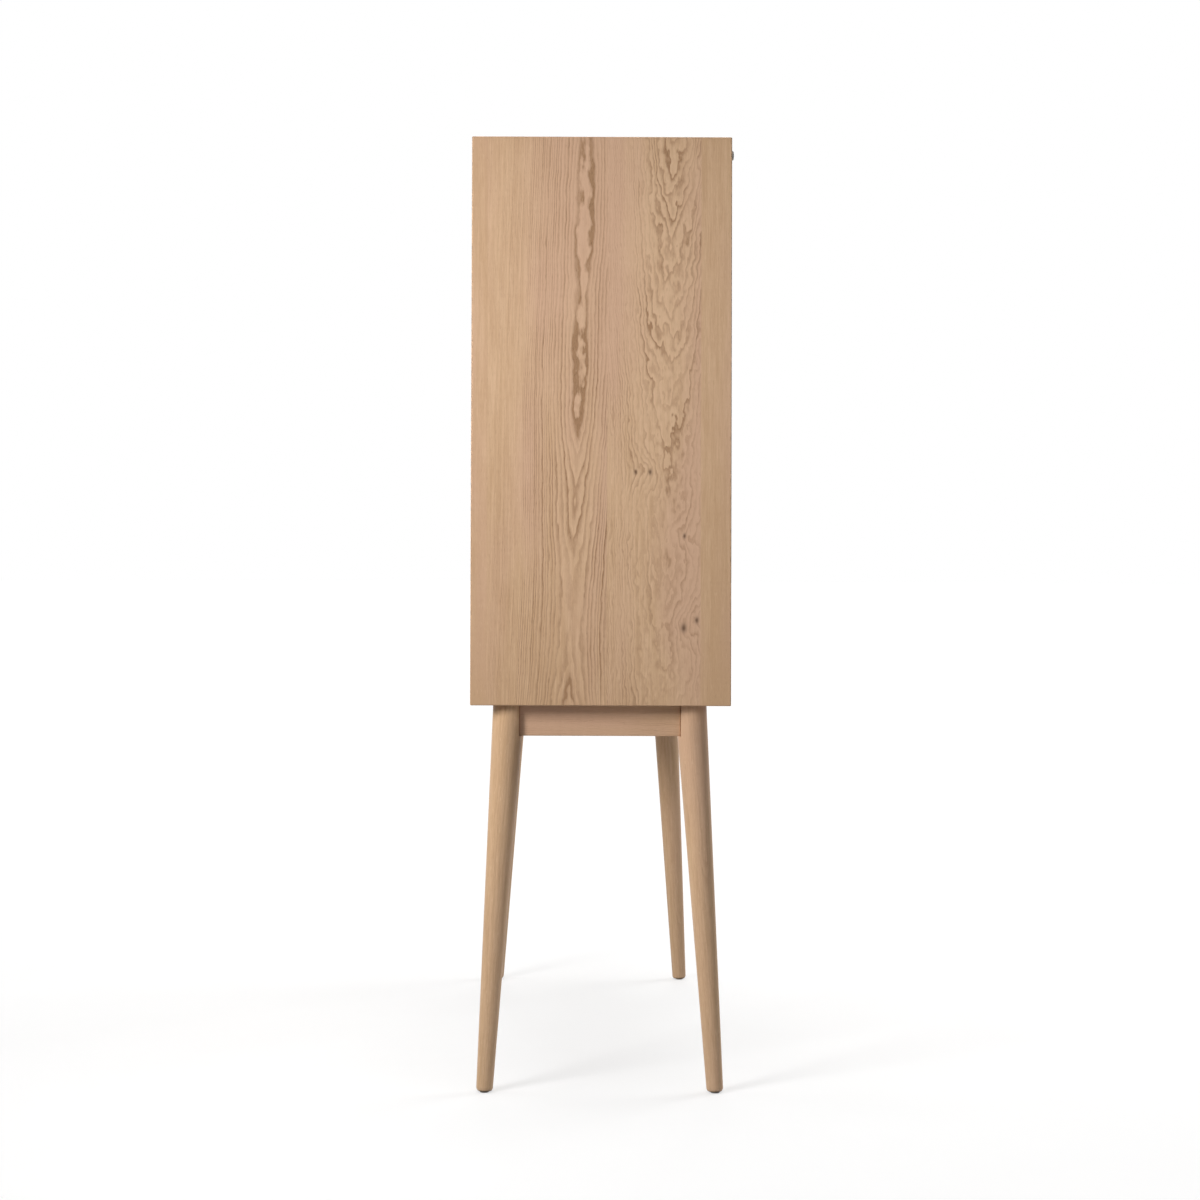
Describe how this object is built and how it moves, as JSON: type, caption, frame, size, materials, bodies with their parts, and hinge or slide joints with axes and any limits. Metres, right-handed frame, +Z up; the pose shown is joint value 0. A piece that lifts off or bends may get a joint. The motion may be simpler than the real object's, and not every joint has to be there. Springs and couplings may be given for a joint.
{
  "type": "pantry cabinet on legs",
  "caption": "Oak cabinet on tall splayed legs, with flush hinged doors over a wide drawer, loose shelves inside and a finger channel in place of handles.",
  "frame": {"origin": "on the floor, under the middle of the whole object", "axes": "+Z up, +X to the right of someone facing the doors, the doors on the -Y side"},
  "size_m": [0.95, 0.4032, 1.46],
  "materials": {
    "oak_carcass": "matt oiled oak, veneered board",
    "oak_fronts": "matt oiled oak",
    "oak_shelves": "matt oiled oak",
    "oak_frame": "matt oiled solid oak",
    "pale_hardwood": "matt lacquered birch and beech",
    "birch_ply": "matt lacquered plywood",
    "hinge_brass": "brushed",
    "zinc_steel": "zinc plated",
    "nickel_steel": "nickel plated",
    "screw_steel": "zinc plated",
    "catch_plastic": "moulded",
    "magnet": "sintered",
    "nylon": "moulded nylon",
    "bumper_rubber": "soft clear-grey rubber"
  },
  "bodies": {
    "cabinet": {"anti_tip_bracket": "zinc_steel", "apron_back": "oak_frame", "apron_front": "oak_frame", "apron_left": "oak_frame", "apron_right": "oak_frame", "back_panel": "oak_carcass", "bottom_panel": "oak_carcass", "carcass_screws": "screw_steel", "catch_left": "catch_plastic", "catch_magnets": "magnet", "catch_right": "catch_plastic", "corner_blocks": "oak_frame", "fixed_shelf": "oak_carcass", "fixed_shelf_dowels": "pale_hardwood", "frame_bolts": "screw_steel", "hinge_left_lower_frame_leaf": "hinge_brass", "hinge_left_upper_frame_leaf": "hinge_brass", "hinge_pins_left": "hinge_brass", "hinge_pins_right": "hinge_brass", "hinge_right_lower_frame_leaf": "hinge_brass", "hinge_right_upper_frame_leaf": "hinge_brass", "leg_back_left": "oak_frame", "leg_back_right": "oak_frame", "leg_front_left": "oak_frame", "leg_front_right": "oak_frame", "leg_glides": "nylon", "mitre_splines": "pale_hardwood", "shelf_lower": "oak_shelves", "shelf_pins": "nickel_steel", "shelf_upper": "oak_shelves", "side_panel_left": "oak_carcass", "side_panel_right": "oak_carcass", "slide_left_cabinet_rail": "zinc_steel", "slide_right_cabinet_rail": "zinc_steel", "top_panel": "oak_carcass", "wall_bumpers": "bumper_rubber"},
    "door_left": {"door_left": "oak_fronts", "door_left_screws": "screw_steel", "hinge_left_lower_door_leaf": "hinge_brass", "hinge_left_upper_door_leaf": "hinge_brass", "strike_left": "nickel_steel"},
    "door_right": {"door_right": "oak_fronts", "door_right_screws": "screw_steel", "hinge_right_lower_door_leaf": "hinge_brass", "hinge_right_upper_door_leaf": "hinge_brass", "strike_right": "nickel_steel"},
    "drawer": {"drawer_bottom": "birch_ply", "drawer_box_back": "pale_hardwood", "drawer_box_front": "pale_hardwood", "drawer_front": "oak_fronts", "drawer_screws": "screw_steel", "drawer_side_left": "pale_hardwood", "drawer_side_right": "pale_hardwood", "slide_left_drawer_rail": "zinc_steel", "slide_right_drawer_rail": "zinc_steel"},
    "middle_rail_left": {"slide_left_middle_rail": "zinc_steel"},
    "middle_rail_right": {"slide_right_middle_rail": "zinc_steel"}
  },
  "joints": [
    {"name": "door_left_hinge", "type": "hinge", "parent": "cabinet", "child": "door_left", "pos_m": [-0.4284, -0.1987, 1.114], "axis": [0, 0, -1], "range_deg": [0, 165]},
    {"name": "door_right_hinge", "type": "hinge", "parent": "cabinet", "child": "door_right", "pos_m": [0.4284, -0.1987, 1.114], "axis": [0, 0, 1], "range_deg": [0, 165]},
    {"name": "drawer_slide", "type": "slide", "parent": "cabinet", "child": "drawer", "axis": [0, -1, 0], "range_m": [0, 0.28]},
    {"name": "middle_rail_left_slide", "type": "slide", "parent": "cabinet", "child": "middle_rail_left", "axis": [0, -1, 0], "range_m": [0, 0.14]},
    {"name": "middle_rail_right_slide", "type": "slide", "parent": "cabinet", "child": "middle_rail_right", "axis": [0, -1, 0], "range_m": [0, 0.14]}
  ],
  "couplings": [
    {"joint": "middle_rail_left_slide", "follows": "drawer_slide", "ratio": 0.5},
    {"joint": "middle_rail_right_slide", "follows": "drawer_slide", "ratio": 0.5}
  ]
}
